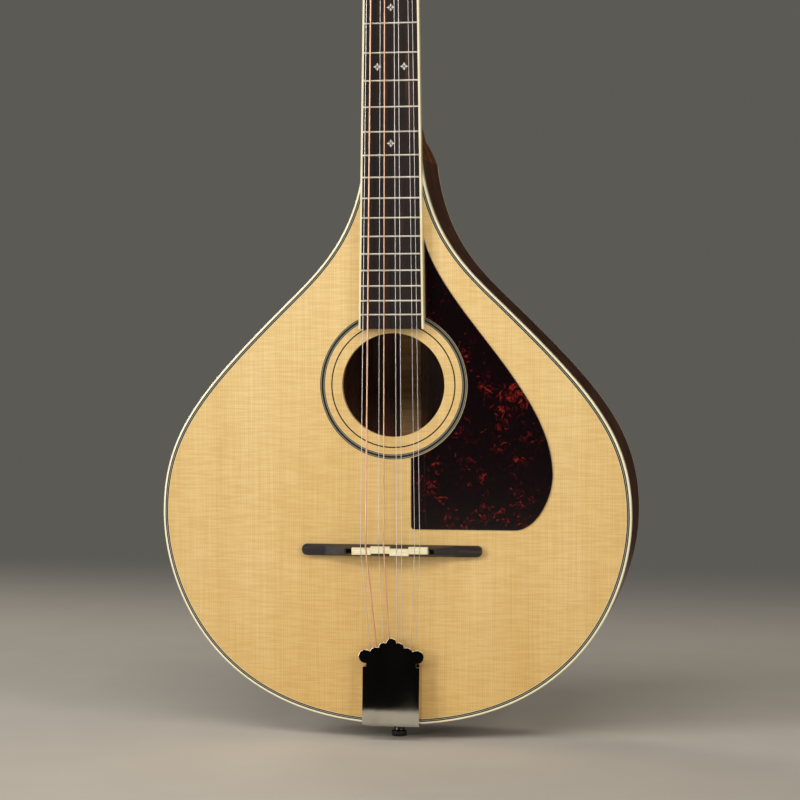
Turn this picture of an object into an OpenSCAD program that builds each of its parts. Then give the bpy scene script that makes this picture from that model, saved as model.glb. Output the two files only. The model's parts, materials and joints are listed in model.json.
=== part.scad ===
// Flat-top bouzouki with eight strings in four courses.
// +X to the right as seen from the front, +Y from the soundboard to the back, +Z up the neck.
// The origin is the middle of the end pin's outer face. Local heights are counted from the tail.

/* [Body] */
// Width of the body at its widest
body_w = 338.6; // [332:0.2:344]
// Length of the body from the tail to the neck joint
body_len = 403; // [400:0.5:406]
// Depth of the body over the plates
body_depth = 80; // [76:1:86]
// Height of the widest place above the tail
belly_z = 149.8; // [146:0.2:154]
// Thickness of the soundboard
top_t = 2.8; // [2.6:0.1:3.2]
// Thickness of the back
back_t = 2.8; // [2.6:0.1:3.2]
// Thickness of the ribs
rib_t = 2.4; // [2.2:0.1:2.8]
// Width of the plastic binding round the edges
binding_w = 1.5; // [1.3:0.1:1.6]
// Depth of the binding at the soundboard's edge
binding_d = 6; // [5:0.5:7]
// Width of the lines inside the binding
purfling_w = 2.3; // [2:0.1:2.5]

/* [Sound hole] */
// Height of the sound hole's centre above the tail
hole_z = 242.6; // [242:0.1:243.2]
// Radius of the sound hole
hole_r = 36.9; // [36:0.1:37.5]
// Outer radius of the outer rosette ring
rosette_r = 52.9; // [52.8:0.1:53.6]

/* [Neck] */
// Vibrating length from nut to saddle
scale_len = 660; // [655:1:665]
// Number of frets
fret_count = 24; // [22:1:24]
// Height of the saddle line above the tail
saddle_z = 127.5; // [127:0.5:128]
// Width of the nut
nut_w = 32.3; // [31.5:0.1:33.5]
// Widening of the fingerboard towards the body, per millimetre
board_taper = 0.0283; // [0.027:0.0001:0.029]
// Thickness of the fingerboard
board_t = 6.3; // [6:0.1:6.6]
// Lean of the neck behind the soundboard's plane, degrees
neck_angle = 0.9; // [0.8:0.05:1]
// Lean of the headstock behind the neck, degrees
head_angle = 14; // [13:0.5:15]

/* [Strings] */
// Height of the strings above the soundboard at the saddle
string_h = 15; // [14.6:0.1:15.4]
// Distance between course centres at the saddle
course_gap = 12.95; // [12.7:0.05:13.2]
// Distance between the two strings of a course at the saddle
pair_gap = 3.65; // [3.4:0.05:3.8]

/* [Tuners] */
// Distance between neighbouring string posts
post_gap = 28; // [27:0.5:29]
// Distance of the posts from the centre line
post_x = 19; // [18.8:0.1:19.2]
// Radius of a string post
post_r = 3; // [2.8:0.1:3.1]

/* [Hidden] */
$fn = 48;

fit_gap = 0.05;                      // clearance of a shaft or shank in its hole
pin_out = 11.5;                      // how far the end pin stands out of the tail
pin_depth = 21;                      // depth of the end pin's axis behind the soundboard's face
front = -pin_depth;                  // soundboard's outer face
back = front + body_depth;           // back's outer face
inner_front = front + top_t;
inner_back = back - back_t;
back_binding_d = 3.5;
graft_w = 14;
lining_w = 5;
lining_d = 12;
block_len = 62;
block_z = body_len - block_len;      // lower face of the neck block
block_half = 60;
tail_block_z = 22;
tail_block_w = 64;
brace_h = 12;
purfling_d = 1.5;
inlay_d = 1;
ring_w = 3.4;                        // width of the outer rosette ring
inner_ring_r = 44.85;
inner_ring_w = 0.9;
board_end_z = 282.4;                 // lower end of the fingerboard
nut_z = saddle_z + scale_len;
nut_t = 5;
edge_w = 1.4;                        // width of the fingerboard's binding
fret_w = 1.4;
fret_h = 0.9;
string_over_board = 1.75;            // string's middle above the fingerboard at the nut
head_t = 15;
headplate_t = 2;
first_post_z = 32;
gear_gap = 8.3;                      // from post axis to worm axis
gear_r = 5.6;
gear_t = 3.5;
plate_t = 1.4;
worm_y = head_t + plate_t + 0.3 + gear_t / 2;
rod_y = 8;
rod_r = 2.9;
rod_slot_half = rod_r + 0.1;
cover_wall = 0.9;

// string radii from the bass side to the treble side; the wound ones are numbers 1 and 3
string_r = [0.25, 0.58, 0.18, 0.42, 0.22, 0.22, 0.16, 0.16];
wound = [1, 3];
plain = [0, 2, 4, 5, 6, 7];
marker_frets = [3, 5, 7, 10, 15];

// ---------- outline of the body ----------
function bezier(p, t) =
    pow(1 - t, 3) * p[0] + 3 * t * pow(1 - t, 2) * p[1] + 3 * t * t * (1 - t) * p[2] + pow(t, 3) * p[3];
function curve(p, n, from = 0) = [for (i = [from:n]) bezier(p, i / n)];

waist = [78.9, body_len - 103.5];
waist_dir = [-cos(44.2), sin(44.2)];
joint_half = 20.6;                   // half the body's width at the neck joint
joint = [joint_half, body_len];
joint_dir = [-sin(6.2), cos(6.2)];
belly = [body_w / 2, belly_z];
half_outline = concat(
    curve([[0, 0], [131.4, 0], belly - [0, 55.2], belly], 26),
    curve([belly, belly + [0, 56.2], waist - 90 * waist_dir, waist], 16, 1),
    curve([waist, waist + 33.5 * waist_dir, joint - 56.4 * joint_dir, joint], 14, 1));
last = len(half_outline) - 1;

// unit vector into the body at the outline's point i; at the tail, the point before is the mirror of the next
function inward(i) =
    let (next = i == last ? half_outline[last] + joint_dir : half_outline[i + 1])
    let (previous = i == 0 ? [-next[0], next[1]] : half_outline[i - 1])
    let (d = next - previous)
    [-d[1], d[0]] / norm(d);
function inset(d) = [for (i = [0:last]) half_outline[i] + d * inward(i)];
function both_sides(h) = concat(h, [for (i = [len(h) - 1:-1:1]) [-h[i][0], h[i][1]]]);
// whole outline moved inwards by d; up runs its neck end straight on past the joint
function whole(d, up = 0) =
    let (h = inset(d))
    both_sides(up > 0 ? concat(h, [[h[last][0], body_len + up]]) : h);

// ---------- placing ----------
// a flat shape drawn in X and height, standing between two depths
module slab(y0, y1)
    translate([0, y1, pin_out]) rotate([90, 0, 0]) linear_extrude(y1 - y0) children();
// the same in the frame it is called from, without the tail's height
module plate(y0, y1)
    translate([0, y1, 0]) rotate([90, 0, 0]) linear_extrude(y1 - y0) children();
// a flat shape drawn in depth and height, w wide about the centre line
module across(w)
    translate([-w / 2, 0, 0]) rotate([90, 0, 90]) linear_extrude(w) children();
// a straight round bar between two points
module bar(a, b, r) {
    d = b - a;
    translate(a) rotate([0, acos(d[2] / norm(d)), atan2(d[1], d[0])]) cylinder(r = r, h = norm(d), $fn = 16);
}
// the neck's own frame: y 0 is the fingerboard's underside, z is counted from the tail
module neck_frame()
    translate([0, front, pin_out + body_len]) rotate([-neck_angle, 0, 0])
        translate([0, 0, -body_len]) children();
// the headstock's own frame: y 0 is the front of its wood, z is counted from the nut's back
module head_frame()
    neck_frame() translate([0, 0, nut_z + nut_t]) rotate([-head_angle, 0, 0]) children();
function lean(p, a) = [p[0], p[1] * cos(a) + p[2] * sin(a), -p[1] * sin(a) + p[2] * cos(a)];
function from_neck(p) = lean(p - [0, 0, body_len], neck_angle) + [0, front, pin_out + body_len];
function from_head(p) = from_neck(lean(p, head_angle) + [0, 0, nut_z + nut_t]);

// ---------- sound box ----------
module ring_between(d0, d1) difference() {
    polygon(whole(d0));
    polygon(whole(d1, 5));
}
module soundboard() color("#e2c287") difference() {
    union() {
        slab(front, inner_front) polygon(whole(binding_w + purfling_w));
        slab(front + purfling_d, inner_front) polygon(whole(binding_w));
    }
    slab(front - 1, inner_front + 1) translate([0, hole_z]) circle(hole_r, $fn = 96);
    slab(front - 1, front + inlay_d) rosette_flat();
}
module rosette_flat() translate([0, hole_z]) {
    difference() {
        circle(rosette_r, $fn = 96);
        circle(rosette_r - ring_w, $fn = 96);
    }
    difference() {
        circle(inner_ring_r, $fn = 96);
        circle(inner_ring_r - inner_ring_w, $fn = 96);
    }
}
module rosette_rings() color("#2b2a28") slab(front, front + inlay_d) rosette_flat();
module back_plate() color("#55321e") slab(inner_back, back) polygon(whole(binding_w));
module rib_ring() {
    slab(front + binding_d, back - back_binding_d) ring_between(0, rib_t);
    slab(inner_front, inner_back) ring_between(binding_w, rib_t);
}
module rib_side(side) difference() {
    intersection() {
        rib_ring();
        translate([side > 0 ? graft_w / 2 : -200 - graft_w / 2, front - 5, pin_out - 5])
            cube([200, body_depth + 10, body_len + 20]);
    }
    end_screw_holes();
}
module rib_bass() color("#403028") rib_side(-1);
module rib_treble() color("#403028") rib_side(1);
module end_graft() color("#241a14") difference() {
    intersection() {
        rib_ring();
        translate([-graft_w / 2, front - 5, pin_out - 5]) cube([graft_w, body_depth + 10, 40]);
    }
    pin_hole();
    end_screw_holes();
}
module top_binding() color("#f0e8c8") slab(front, front + binding_d) ring_between(0, binding_w);
module top_purfling() color("#5a5748")
    slab(front, front + purfling_d) ring_between(binding_w, binding_w + purfling_w);
module back_binding() color("#f0e8c8") slab(back - back_binding_d, back) ring_between(0, binding_w);
module neck_block() color("#8a5a35") difference() {
    slab(inner_front, inner_back) intersection() {
        polygon(whole(rib_t, 5));
        translate([-block_half, block_z]) square([2 * block_half, block_len]);
    }
    tenon(fit_gap);
}
module tail_block() color("#8a5a35") difference() {
    slab(inner_front, inner_back) intersection() {
        polygon(whole(rib_t));
        translate([-tail_block_w / 2, 0]) square([tail_block_w, tail_block_z]);
    }
    pin_hole();
    end_screw_holes();
}
module lining(y0, y1) slab(y0, y1) difference() {
    ring_between(rib_t, rib_t + lining_w);
    translate([-block_half, block_z]) square([2 * block_half, 100]);
    translate([-tail_block_w / 2, -1]) square([tail_block_w, 50]);
}
module lining_top() color("#c9a06a") lining(inner_front, inner_front + lining_d);
module lining_back() color("#c9a06a") lining(inner_back - lining_d, inner_back);
// flat strips cut to the space inside the linings
module inside_linings() intersection() {
    polygon(whole(rib_t + lining_w + 0.6));
    children();
}
module cross_strip(z, w) translate([-200, z - w / 2]) square([400, w]);
module top_braces() color("#d8b67c") slab(inner_front, inner_front + brace_h) inside_linings() {
    cross_strip(hole_z + 62, 8);
    cross_strip(hole_z - 62, 9);
    for (s = [-1, 1]) translate([s * 58, 108]) rotate(s * 18) translate([-4, -60]) square([8, 120]);
}
back_brace_z = [50, 120, 190, 300];
back_brace_w = 10;
module back_braces() color("#d8b67c")
    slab(inner_back - brace_h, inner_back) inside_linings()
        for (z = back_brace_z) cross_strip(z, back_brace_w);
module back_strip() color("#c9a06a") {
    stops = concat([tail_block_z - back_brace_w / 2], back_brace_z, [block_z + back_brace_w / 2]);
    for (i = [0:len(stops) - 2])
        slab(inner_back - 2, inner_back)
            translate([-8, stops[i] + back_brace_w / 2])
                square([16, stops[i + 1] - stops[i] - back_brace_w]);
}
module soundhole_ring() color("#d8b67c") slab(inner_front, inner_front + 1.5)
    translate([0, hole_z]) difference() {
        circle(rosette_r - 1, $fn = 96);
        circle(hole_r, $fn = 96);
    }

// ---------- pickguard ----------
guard_x = 12.7;                      // left edge
guard_z = 140;                       // lower edge
guard_gap = 0.4;                     // from the rosette's edge and the fingerboard's side
guard_side = [113.8, 180];           // widest place
function board_half(z) = nut_w / 2 + board_taper / 2 * (nut_z - z);
function hole_arc(r, a0, a1, n) =
    [for (i = [0:n]) let (a = a0 + (a1 - a0) * i / n) [r * cos(a), hole_z + r * sin(a)]];
module pickguard() color("#1a0a0c") slab(front - 1, front) {
    r = rosette_r + guard_gap;
    edge_x = board_half(290) + guard_gap;
    tip = [board_half(346) + guard_gap, 346];
    polygon(concat(
        hole_arc(r, -acos(guard_x / r), acos(edge_x / r), 24),
        curve([tip, [37, 293], [113.8, 239], guard_side], 16),
        curve([guard_side, [113.8, 161], [101, guard_z], [87, guard_z]], 10, 1),
        [[guard_x + 2.3, guard_z], [guard_x + 0.7, guard_z + 0.7], [guard_x, guard_z + 2.3]]));
}

// ---------- end pin ----------
pin_shank_r = 3.5;
pin_head_r = 5.5;
pin_reach = 23;                      // how far the shank goes into the tail block
module end_pin() color("#141414") rotate_extrude()
    polygon([[0, 0], [pin_head_r, 0], [pin_head_r, 3.6], [4, 4.4], [3.7, 7.4], [5.9, 8.6],
        [5.9, pin_out - base_t], [pin_shank_r, pin_out - base_t],
        [pin_shank_r - 0.5, pin_out + pin_reach], [0, pin_out + pin_reach]]);
module pin_hole() translate([0, 0, pin_out - 3]) cylinder(r = pin_shank_r + fit_gap, h = 40);

// ---------- neck ----------
shaft_top_r = 16.1;
shaft_low_r = 21.2;
shaft_top_y = 3.3;
shaft_low_y = 1.2;
module shaft() {
    run = nut_z + nut_t - body_len + 8;
    tilt = atan((shaft_top_y - shaft_low_y) / run);
    difference() {
        translate([0, shaft_low_y, body_len - 8]) rotate([-tilt, 0, 0])
            cylinder(r1 = shaft_low_r, r2 = shaft_top_r, h = run, $fn = 96);
        translate([-50, -60, body_len - 40]) cube([100, 60, run + 80]);
    }
}
heel_y = 78;
module heel() intersection() {
    across(60) polygon(concat(
        [[0, body_len - 8], [0, body_len + 90]],
        curve([[18, body_len + 90], [30, body_len + 60], [56, body_len + 30], [heel_y, body_len + 15]], 12),
        [[heel_y, body_len - 8]]));
    plate(0, heel_y + 1) polygon(both_sides(concat(
        [[0, body_len - 8], [joint_half, body_len - 8]],
        curve([[joint_half, body_len], [18.4, body_len + 8], [15, body_len + 13], [12.6, body_len + 18]], 6),
        [[11.6, body_len + 28], [10, body_len + 45], [8, body_len + 92], [0, body_len + 92]])));
}
head_half = concat(
    [[0, -6], [nut_w / 2 - 0.4, -6], [nut_w / 2 - 0.2, 2]],
    curve([[nut_w / 2 - 0.2, 2], [17, 12], [33.5, 14], [33.5, 27]], 8, 1),
    curve([[33.5, 27], [33.5, 60], [30.5, 100], [29.5, 128]], 6, 1),
    curve([[29.5, 128], [29, 140], [17, 139], [11, 143]], 6, 1),
    curve([[11, 143], [7, 146], [3.5, 147.5], [0, 147.5]], 4, 1));
head_len = 147.5;
module head_flat() polygon(both_sides(head_half));
function post_z(i) = first_post_z + post_gap * i;
// tuners 1 to 4 climb the bass side, 5 to 8 climb the treble side
function tuner_side(i) = i <= 4 ? -1 : 1;
function tuner_step(i) = (i - 1) % 4;
module at_posts() for (i = [1:8]) translate([tuner_side(i) * post_x, 0, post_z(tuner_step(i))]) children();
module along_y(r, y0, y1) translate([0, y1, 0]) rotate([90, 0, 0]) cylinder(r = r, h = y1 - y0);
tenon_w = 22;
module tenon(grow)
    translate([-tenon_w / 2 - grow, inner_front, pin_out + body_len - 24 - grow])
        cube([tenon_w + 2 * grow, body_depth - 24 + grow, 26]);
pocket_w = 11;
bush_r = 4.5;
module neck() color("#5a3420") difference() {
    union() {
        difference() {
            neck_frame() {
                shaft();
                heel();
            }
            translate([-50, front - 10, pin_out + body_len - 30]) cube([100, body_depth + 20, 30]);
        }
        head_frame() plate(0, head_t) head_flat();
        tenon(0);
    }
    neck_frame() {
        translate([-rod_slot_half, -1, body_len + 20])
            cube([2 * rod_slot_half, rod_y + rod_r + 1.2, nut_z - body_len - 10]);
        // the nut and the fingerboard stand on wood cut level with the neck's front
        translate([-nut_w, -6, nut_z - 4]) cube([2 * nut_w, 6, nut_t + 4]);
    }
    head_frame() {
        translate([-pocket_w / 2, -1, 1]) cube([pocket_w, 13, 25]);
        at_posts() along_y(bush_r + fit_gap, -1, head_t + 1);
        for (p = cover_screw_places) translate([p[0], 0, p[1]]) along_y(screw_r + fit_gap, -1, 6);
        plate_screw_places() along_y(screw_r + fit_gap, head_t - 8, head_t + 1);
    }
}
module heel_cap() color("#1d1815") difference() {
    neck_frame() plate(heel_y, heel_y + 1.6) polygon(both_sides([
        [0, body_len - 6], [joint_half, body_len - 6], [joint_half, body_len], [18.7, body_len + 5],
        [16.2, body_len + 10], [9, body_len + 14], [0, body_len + 15]]));
    translate([-50, front - 10, pin_out + body_len - 30]) cube([100, body_depth + 20, 30]);
}
module headplate() color("#1c1613") head_frame() difference() {
    plate(-headplate_t, 0) intersection() {
        head_flat();
        translate([-60, 0.6]) square([120, 200]);
    }
    translate([-pocket_w / 2, -5, 1]) cube([pocket_w, 10, 25]);
    at_posts() along_y(bush_r + fit_gap, -5, 5);
    for (p = cover_screw_places) translate([p[0], 0, p[1]]) along_y(screw_r + fit_gap, -5, 5);
}

// ---------- fingerboard ----------
function fret_z(n) = saddle_z + scale_len / pow(2, n / 12);
function board_edge(z, in) = board_half(z) - in;
module board_flat(in) polygon([
    [-board_edge(board_end_z, in), board_end_z], [board_edge(board_end_z, in), board_end_z],
    [board_edge(nut_z, in), nut_z], [-board_edge(nut_z, in), nut_z]]);
module fingerboard() color("#32281f") neck_frame() difference() {
    plate(-board_t, 0) board_flat(edge_w);
    for (n = [1:fret_count]) translate([-40, -board_t - 1, fret_z(n) - 0.3]) cube([80, 3, 0.6]);
    plate(-board_t - 1, -board_t + inlay_d) markers_flat();
}
module fingerboard_binding() color("#f0e8c8") neck_frame() difference() {
    plate(-board_t, 0) difference() {
        board_flat(0);
        translate([0, -1]) board_flat(edge_w);
        translate([0, 1]) board_flat(edge_w);
    }
    side_dot_places() rotate([0, -90, 0]) cylinder(r = dot_r + fit_gap, h = 4);
}
module fingerboard_wedge() color("#241b16") {
    rise = tan(neck_angle) * (body_len - board_end_z);
    thin = tan(neck_angle) * 12;
    intersection() {
        translate([0, 0, pin_out]) across(60) polygon([
            [front, board_end_z + 2], [front - rise, board_end_z + 2],
            [front - thin, body_len - 12], [front, body_len - 12]]);
        neck_frame() plate(0, 10) board_flat(1.6);
    }
}
module frets() color("#d8cfb8") neck_frame() for (n = [1:fret_count]) {
    w = 2 * board_edge(fret_z(n), edge_w - 0.5);
    tang_w = 2 * board_edge(fret_z(n), edge_w + 0.3);
    translate([0, -board_t, fret_z(n)]) across(w)
        polygon([for (a = [0:15:180]) [-fret_h * sin(a), fret_w / 2 * cos(a)]]);
    translate([-tang_w / 2, -board_t, fret_z(n) - 0.25]) cube([tang_w, 1.7, 0.5]);
}
function marker_z(n) = (fret_z(n) + fret_z(n - 1)) / 2;
module quatrefoil() {
    for (a = [0:90:270]) rotate(a) translate([1.75, 0]) circle(1.05, $fn = 24);
    circle(0.95, $fn = 24);
}
module markers_flat() {
    for (n = marker_frets) translate([0, marker_z(n)]) quatrefoil();
    for (s = [-1, 1]) translate([s * 9.6, marker_z(12)]) quatrefoil();
}
module fret_markers() color("#e8e8e0") neck_frame() plate(-board_t, -board_t + inlay_d) markers_flat();
dot_r = 1;
module side_dot_places() for (n = concat(marker_frets, [12]), s = n == 12 ? [-1, 1] : [0])
    translate([-board_half(marker_z(n)) + 0.6, -board_t / 2, marker_z(n) + s * 3]) children();
module side_dots() color("#1c1613") neck_frame() side_dot_places()
    rotate([0, -90, 0]) cylinder(r = dot_r, h = 0.58);

// ---------- nut, truss rod ----------
nut_course_gap = 7.7;
nut_pair_gap = 2.6;
nut_shift = -0.8;                    // the strings sit this far off the nut's middle
// string i's place across, from the gap between courses and the gap inside one
function string_x(i, course, pair) = (floor(i / 2) - 1.5) * course + (i % 2 - 0.5) * pair;
function nut_x(i) = string_x(i, nut_course_gap, nut_pair_gap) + nut_shift;
nut_top = board_t + string_over_board;
nut_fall = nut_t * tan(12.5);        // the nut's top falls towards the headstock, as the strings do
module nut() color("#e4dcb4") difference() {
    neck_frame() across(nut_w - 0.2)
        polygon([[0, nut_z], [-nut_top, nut_z], [-nut_top + nut_fall, nut_z + nut_t], [0, nut_z + nut_t]]);
    for (i = [0:7]) groove(string_nut(i), string_top(i), string_r[i] + fit_gap);
}
rod_end_z = nut_z + 20;
module truss_rod() color("#8a8a88") neck_frame() translate([0, rod_y, body_len + 24])
    cylinder(r = rod_r - 0.1, h = rod_end_z - body_len - 24);
rod_nut_z = nut_z + 11.5;
module truss_rod_nut() color("#c8a860") neck_frame() translate([0, rod_y, rod_nut_z]) difference() {
    cylinder(r = 4.2, h = 7, $fn = 6);
    translate([0, 0, -1]) cylinder(r = rod_r - 0.1 + fit_gap, h = 9);
}
screw_r = 1.1;
cover_t = 1.6;
cover_screw_places = [[-8.6, 5.6], [8.6, 5.6], [0, 31.5]];
module truss_rod_cover() color("#141210") head_frame() difference() {
    plate(-headplate_t - cover_t, -headplate_t) polygon(both_sides(concat([[0, 2.2], [11.5, 2.2]],
        curve([[11.5, 2.2], [11.5, 20], [4.6, 22], [4, 31]], 10, 1),
        curve([[4, 31], [3.6, 36], [1, 37], [0, 37]], 5, 1))));
    for (p = cover_screw_places) translate([p[0], 0, p[1]]) along_y(screw_r + fit_gap, -9, 5);
}
module screw(head_r, head_h, reach) {
    along_y(head_r, -head_h, 0);
    along_y(screw_r, 0, reach);
}
module cover_screws() color("#c4bfae") head_frame() for (p = cover_screw_places)
    translate([p[0], -headplate_t - cover_t, p[1]]) screw(2, 0.7, 8.5);

// ---------- bridge and saddle ----------
bridge_z = 125;                      // middle of the bridge above the tail
bridge_w = 7.9;
bridge_x = -1.2;                     // the bridge floats, and stands a little to the bass side
bridge_half = 64.8;
bridge_top = 10.6;
slot_w = 3.2;
slot_half = 32;
module bridge() color("#2a2422") translate([bridge_x, 0, 0]) difference() {
    intersection() {
        translate([0, 0, pin_out]) plate(front - bridge_top, front) {
            translate([-bridge_half + 3.5, bridge_z - bridge_w / 2]) square([2 * bridge_half - 7, bridge_w]);
            for (s = [-1, 1], t = [-1, 1])
                translate([s * (bridge_half - 3.2), bridge_z + t * (bridge_w / 2 - 3.2)]) circle(3.2);
            translate([-bridge_half, bridge_z - bridge_w / 2 + 3.2])
                square([2 * bridge_half, bridge_w - 6.4]);
        }
        translate([0, front, pin_out]) linear_extrude(300) polygon(both_sides(concat(
            [[0, 0], [bridge_half + 1, 0], [bridge_half + 1, -4.2], [bridge_half - 16, -5]],
            curve([[bridge_half - 16, -5], [44, -5.4], [41, -10], [34, -bridge_top]], 8, 1),
            [[0, -bridge_top]])));
    }
    translate([-slot_half, front - bridge_top - 1, pin_out + bridge_z - slot_w / 2])
        cube([2 * slot_half, 6, slot_w]);
}
saddle_half = 27.2;
saddle_shift = -0.6;
step_w = 4.9;
step_z = [0.2, 1.2, -0.3, 1.1];      // how far each step stands up from the bridge's middle line
saddle_fall = step_w * tan(7.4);     // each step's top falls towards the tail, as the strings do
module saddle() color("#e4dcb4") difference() {
    translate([saddle_shift, 0, pin_out + bridge_z]) {
        translate([-saddle_half, front - bridge_top - 1, -slot_w / 2 + fit_gap])
            cube([2 * saddle_half, 6, slot_w - 2 * fit_gap]);
        for (k = [0:3]) translate([(k - 1.5) * saddle_half / 2, front, step_z[k]]) across(saddle_half / 2)
            polygon([[-bridge_top, -step_w / 2], [-string_h + saddle_fall, -step_w / 2],
                [-string_h, step_w / 2], [-bridge_top, step_w / 2]]);
    }
    for (i = [0:7]) groove(string_saddle(i), string_tail(i), string_r[i] + fit_gap);
}

// ---------- strings ----------
function saddle_x(i) = string_x(i, course_gap, pair_gap);
hook_course_gap = 8.6;
hook_pair_gap = 4;
hook_rows = [31, 38];                // heights of the two rows of hooks above the tail
function hook_x(i) = string_x(i, hook_course_gap, hook_pair_gap);
function hook_z(i) = hook_rows[i % 2];
hook_r = 1.2;
hook_h = 5.2;
loop_h = 3.4;                        // height of the string loops above the soundboard
function loop_r(i) = hook_r + 0.1 + string_r[i];
function string_tail(i) = [hook_x(i), front - loop_h, pin_out + hook_z(i) + loop_r(i)];
function string_saddle(i) =
    [saddle_x(i), front - string_h, pin_out + bridge_z + step_z[floor(i / 2)] + step_w / 2];
function string_nut(i) = from_neck([nut_x(i), -nut_top, nut_z]);
// strings 0 to 3 climb the bass posts from the lowest, 7 to 4 the treble posts
function string_tuner(i) = i < 4 ? i + 1 : 12 - i;
wrap_y = 8.5;                        // height of the first turn above the headstock's wood
wrap_gap = 0.3;
function wrap_r(i) = post_r + wrap_gap + string_r[i];
function string_top(i) =
    let (t = string_tuner(i))
    from_head([tuner_side(t) * (post_x - wrap_r(i)), -wrap_y, post_z(tuner_step(t))]);
// the cut that a string lies in, from just before its bend at a towards b
module groove(a, b, r) {
    d = (b - a) / norm(b - a);
    bar(a - d, a + 12 * d, r);
}
// a string's route: round its hook, over the saddle, over the nut, and round its post
hook_turn = 280;                     // how far the loop reaches round the hook, degrees
loop_steps = 14;
wrap_turns = 2.5;
wrap_steps = 36;
function loop_points(i) = [for (k = [0:loop_steps])
    let (a = 70 - hook_turn * (1 - k / loop_steps))
    [hook_x(i) + loop_r(i) * cos(a), front - loop_h, pin_out + hook_z(i) + loop_r(i) * sin(a)]];
function wrap_points(i) =
    let (t = string_tuner(i), side = tuner_side(t))
    [for (k = [0:wrap_steps])
        let (a = 360 * wrap_turns * k / wrap_steps, drop = 2.3 * string_r[i] * a / 360)
        let (across_post = side * (post_x - wrap_r(i) * cos(a)))
        from_head([across_post, drop - wrap_y, post_z(tuner_step(t)) + wrap_r(i) * sin(a)])];
function string_route(i) = concat(loop_points(i), [string_saddle(i), string_nut(i)], wrap_points(i));

function unit(v) = v / norm(v);
function heading(p, i) =
    i == 0 ? unit(p[1] - p[0]) :
    i == len(p) - 1 ? unit(p[i] - p[i - 1]) :
    unit(unit(p[i + 1] - p[i]) + unit(p[i] - p[i - 1]));
// side directions carried along the route without twisting
function carried(p, i, side) =
    i == len(p) ? [] :
    let (t = heading(p, i), m = unit(side - (side * t) * t))
    concat([m], carried(p, i + 1, m));
tube_sides = 8;
module tube(p, r) {
    side = carried(p, 0, [0, 1, 0.01]);
    rings = [for (i = [0:len(p) - 1], k = [0:tube_sides - 1])
        let (a = 360 * k / tube_sides)
        p[i] + r * (cos(a) * side[i] + sin(a) * cross(heading(p, i), side[i]))];
    n = tube_sides;
    walls = [for (i = [0:len(p) - 2], k = [0:n - 1])
        [i * n + k, (i + 1) * n + k, (i + 1) * n + (k + 1) % n, i * n + (k + 1) % n]];
    ends = [[for (k = [0:n - 1]) k], [for (k = [n - 1:-1:0]) (len(p) - 1) * n + k]];
    polyhedron(rings, concat(walls, ends));
}
module one_string(i) tube(string_route(i), string_r[i]);
module strings_plain() color("#b8b4ac") for (i = plain) one_string(i);
module strings_wound() color("#c89878") for (i = wound) one_string(i);

// ---------- tailpiece ----------
base_t = 1.2;
base_half = 18.4;
end_plate_y = front + 34;
end_screws = [[-9, front + 9], [9, front + 9], [0, front + 30]];
module end_screw_holes() for (p = end_screws) translate([p[0], p[1], pin_out - 3])
    cylinder(r = screw_r + fit_gap, h = 20);
module tailpiece_base() color("#b0b0ae") difference() {
    union() {
        slab(front - base_t, front) translate([-base_half, -base_t]) square([2 * base_half, 45]);
        translate([-15, front - base_t, pin_out - base_t]) cube([30, 34, base_t]);
        for (i = [0:7]) translate([hook_x(i), front, pin_out + hook_z(i)]) {
            along_y(hook_r, -hook_h, -0.5);
            along_y(hook_r + 0.5, -hook_h, 0.6 - hook_h);
        }
    }
    pin_hole();
    end_screw_holes();
}
module tailpiece_screws() color("#b0b0ae") for (p = end_screws) translate([p[0], p[1], pin_out - base_t]) {
    translate([0, 0, -1.3]) cylinder(r = 2.4, h = 1.3);
    cylinder(r = screw_r, h = 15);
}
cover_half = 20.5;
cover_x = -0.5;                      // the cover sits a little to the bass side
cover_low = 1.5;
cover_gap = 0.3;                     // between the cover and what it slides over
shoulder_z = 42.6;
cover_foot = [13.6, 1.5];            // height above the soundboard and place above the tail
cover_tip = [8.7, 63];
cover_edge = 1.2;                    // rounding of the foot's edge
cover_slope = (cover_tip - cover_foot) / norm(cover_tip - cover_foot);
cover_side = concat(
    curve([cover_foot - [cover_edge, 0], cover_foot - [cover_edge / 2, 0], cover_foot,
        cover_foot + cover_edge * cover_slope], 5),
    [cover_tip, cover_tip + 3 * cover_slope]);
function cover_inner(p) = [p[0] - cover_wall, max(p[1], cover_low + cover_wall)];
module cloud() {
    translate([-cover_half, cover_low]) square([2 * cover_half, shoulder_z - cover_low]);
    polygon(both_sides([[0, shoulder_z - 1], [18, shoulder_z - 1], [18, 49], [10, 54], [0, 60]]));
    for (s = [-1, 1]) {
        translate([s * 18.6, 49.9]) circle(4.8);
        translate([s * 11.1, 52.1]) circle(4.4);
        translate([s * 5.6, 56.5]) circle(3.4);
    }
    translate([0, 59.5]) circle(3.6);
}
function mirrored_y(h) = [for (p = h) [front - p[0], p[1] + pin_out]];
module tailpiece_cover() color("#c8c6c0") translate([cover_x, 0, 0]) {
    intersection() {
        slab(front - 20, front) cloud();
        across(60) polygon(concat(mirrored_y(cover_side),
            mirrored_y([for (i = [len(cover_side) - 1:-1:0]) cover_inner(cover_side[i])])));
    }
    for (s = [-1, 1]) intersection() {
        translate([s > 0 ? cover_half - cover_wall : -cover_half, front - 20, pin_out])
            cube([cover_wall, 20 - cover_gap, shoulder_z]);
        across(60) polygon(concat(mirrored_y(cover_side),
            [[front, cover_tip[1] + pin_out + 3], [front, cover_low + pin_out]]));
    }
    translate([-cover_half, front - cover_foot[0] + cover_edge, pin_out + cover_low])
        cube([2 * cover_half, cover_foot[0] - cover_edge - base_t - cover_gap, cover_wall]);
}

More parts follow.
